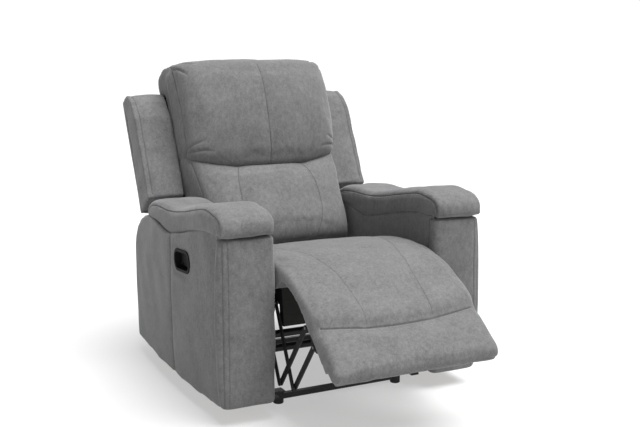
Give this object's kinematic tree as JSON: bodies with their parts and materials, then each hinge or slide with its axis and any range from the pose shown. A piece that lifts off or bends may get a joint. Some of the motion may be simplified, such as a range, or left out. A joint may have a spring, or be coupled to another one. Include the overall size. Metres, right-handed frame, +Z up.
{
  "type": "recliner armchair",
  "caption": "Upholstered recliner armchair with pillow arms, side wings, a head and lumbar cushion, a chaise footrest on a steel linkage, and a pull latch in one arm.",
  "frame": {"origin": "on the floor, under the middle of the whole chair with its footrest part way open", "axes": "+Z up, the chair faces -Y, +X is the sitter's left, so the release latch is on the -X arm"},
  "size_m": [0.92, 1.376, 1.0456],
  "materials": {
    "upholstery": "brushed microfibre, mottled mid grey",
    "timber": "raw sawn frame timber",
    "stained_timber": "frame timber stained black where it can be seen between the cushions and under the seat",
    "black_steel": "black powder coat, semi gloss",
    "spring_steel": "oiled spring wire",
    "zinc_steel": "zinc plated",
    "glide_plastic": "black moulded glide",
    "latch_plastic": "black moulded, fine texture"
  },
  "bodies": {
    "base": {"arm_bolts": "zinc_steel", "arm_frame_left": "timber", "arm_frame_right": "timber", "arm_front_panel_left": "upholstery", "arm_front_panel_right": "upholstery", "arm_inner_panel_left": "upholstery", "arm_inner_panel_right": "upholstery", "arm_pad_left": "upholstery", "arm_pad_right": "upholstery", "arm_rear_panel_left": "upholstery", "arm_rear_panel_right": "upholstery", "arm_side_panel_left": "upholstery", "arm_side_panel_right": "upholstery", "back_pivot_pins": "zinc_steel", "base_rail_left": "black_steel", "base_rail_right": "black_steel", "front_cross_bar": "black_steel", "front_cross_tube": "black_steel", "glide_feet": "glide_plastic", "latch_bezel": "latch_plastic", "latch_hinge_pin": "zinc_steel", "link_pivot_pins": "zinc_steel", "mechanism_plate_left": "black_steel", "mechanism_plate_right": "black_steel", "rear_cross_bar": "black_steel", "rear_cross_tube": "black_steel", "seat_brackets": "black_steel", "seat_cushion": "upholstery", "seat_front_rail": "stained_timber", "seat_rear_rail": "stained_timber", "seat_side_rail_left": "stained_timber", "seat_side_rail_right": "stained_timber", "seat_springs": "spring_steel"},
    "back": {"back_bottom_rail": "timber", "back_hinge_plate_left": "black_steel", "back_hinge_plate_right": "black_steel", "back_middle_rail": "timber", "back_springs": "spring_steel", "back_stile_left": "timber", "back_stile_right": "timber", "back_top_rail": "timber", "head_cushion": "upholstery", "lumbar_cushion": "upholstery", "rear_cover": "upholstery", "wing_board_left": "stained_timber", "wing_board_right": "stained_timber", "wing_pad_left": "upholstery", "wing_pad_right": "upholstery"},
    "footrest": {"footrest_board": "timber", "footrest_bracket_left": "black_steel", "footrest_bracket_right": "black_steel", "footrest_pad": "upholstery", "footrest_pivot_pins": "zinc_steel"},
    "rear_swing": {"rear_swing_links": "black_steel"},
    "front_swing": {"front_swing_links": "black_steel"},
    "rear_lift": {"rear_lift_links": "black_steel"},
    "front_lift": {"front_lift_links": "black_steel"},
    "latch": {"latch_paddle": "latch_plastic"}
  },
  "joints": [
    {"name": "back_recline", "type": "hinge", "parent": "base", "child": "back", "pos_m": [0, 0.26464, 0.33], "axis": [-1, 0, 0], "range_deg": [0, 36]},
    {"name": "footrest_swing", "type": "hinge", "parent": "base", "child": "footrest", "pos_m": [0, -0.39536, 0.497], "axis": [-1, 0, 0], "range_deg": [-49, 41]},
    {"name": "rear_swing_turn", "type": "hinge", "parent": "base", "child": "rear_swing", "pos_m": [0, -0.22876, 0.28453], "axis": [-1, 0, 0], "range_deg": [-49, 41]},
    {"name": "front_swing_turn", "type": "hinge", "parent": "base", "child": "front_swing", "pos_m": [0, -0.27195, 0.33961], "axis": [-1, 0, 0], "range_deg": [-49, 41]},
    {"name": "rear_lift_turn", "type": "hinge", "parent": "rear_swing", "child": "rear_lift", "pos_m": [0, -0.31925, 0.10617], "axis": [-1, 0, 0], "range_deg": [-41, 49]},
    {"name": "front_lift_turn", "type": "hinge", "parent": "front_swing", "child": "front_lift", "pos_m": [0, -0.38868, 0.10953], "axis": [-1, 0, 0], "range_deg": [-41, 49]},
    {"name": "latch_pull", "type": "hinge", "parent": "base", "child": "latch", "pos_m": [-0.4398, -0.00136, 0.443], "axis": [0, 0, -1], "range_deg": [0, 25], "stiffness_Nm_per_rad": 0.3, "springref_deg": -17.19}
  ],
  "couplings": [
    {"joint": "rear_swing_turn", "follows": "footrest_swing", "ratio": 1},
    {"joint": "front_swing_turn", "follows": "footrest_swing", "ratio": 1},
    {"joint": "rear_lift_turn", "follows": "footrest_swing", "ratio": -1},
    {"joint": "front_lift_turn", "follows": "footrest_swing", "ratio": -1}
  ]
}
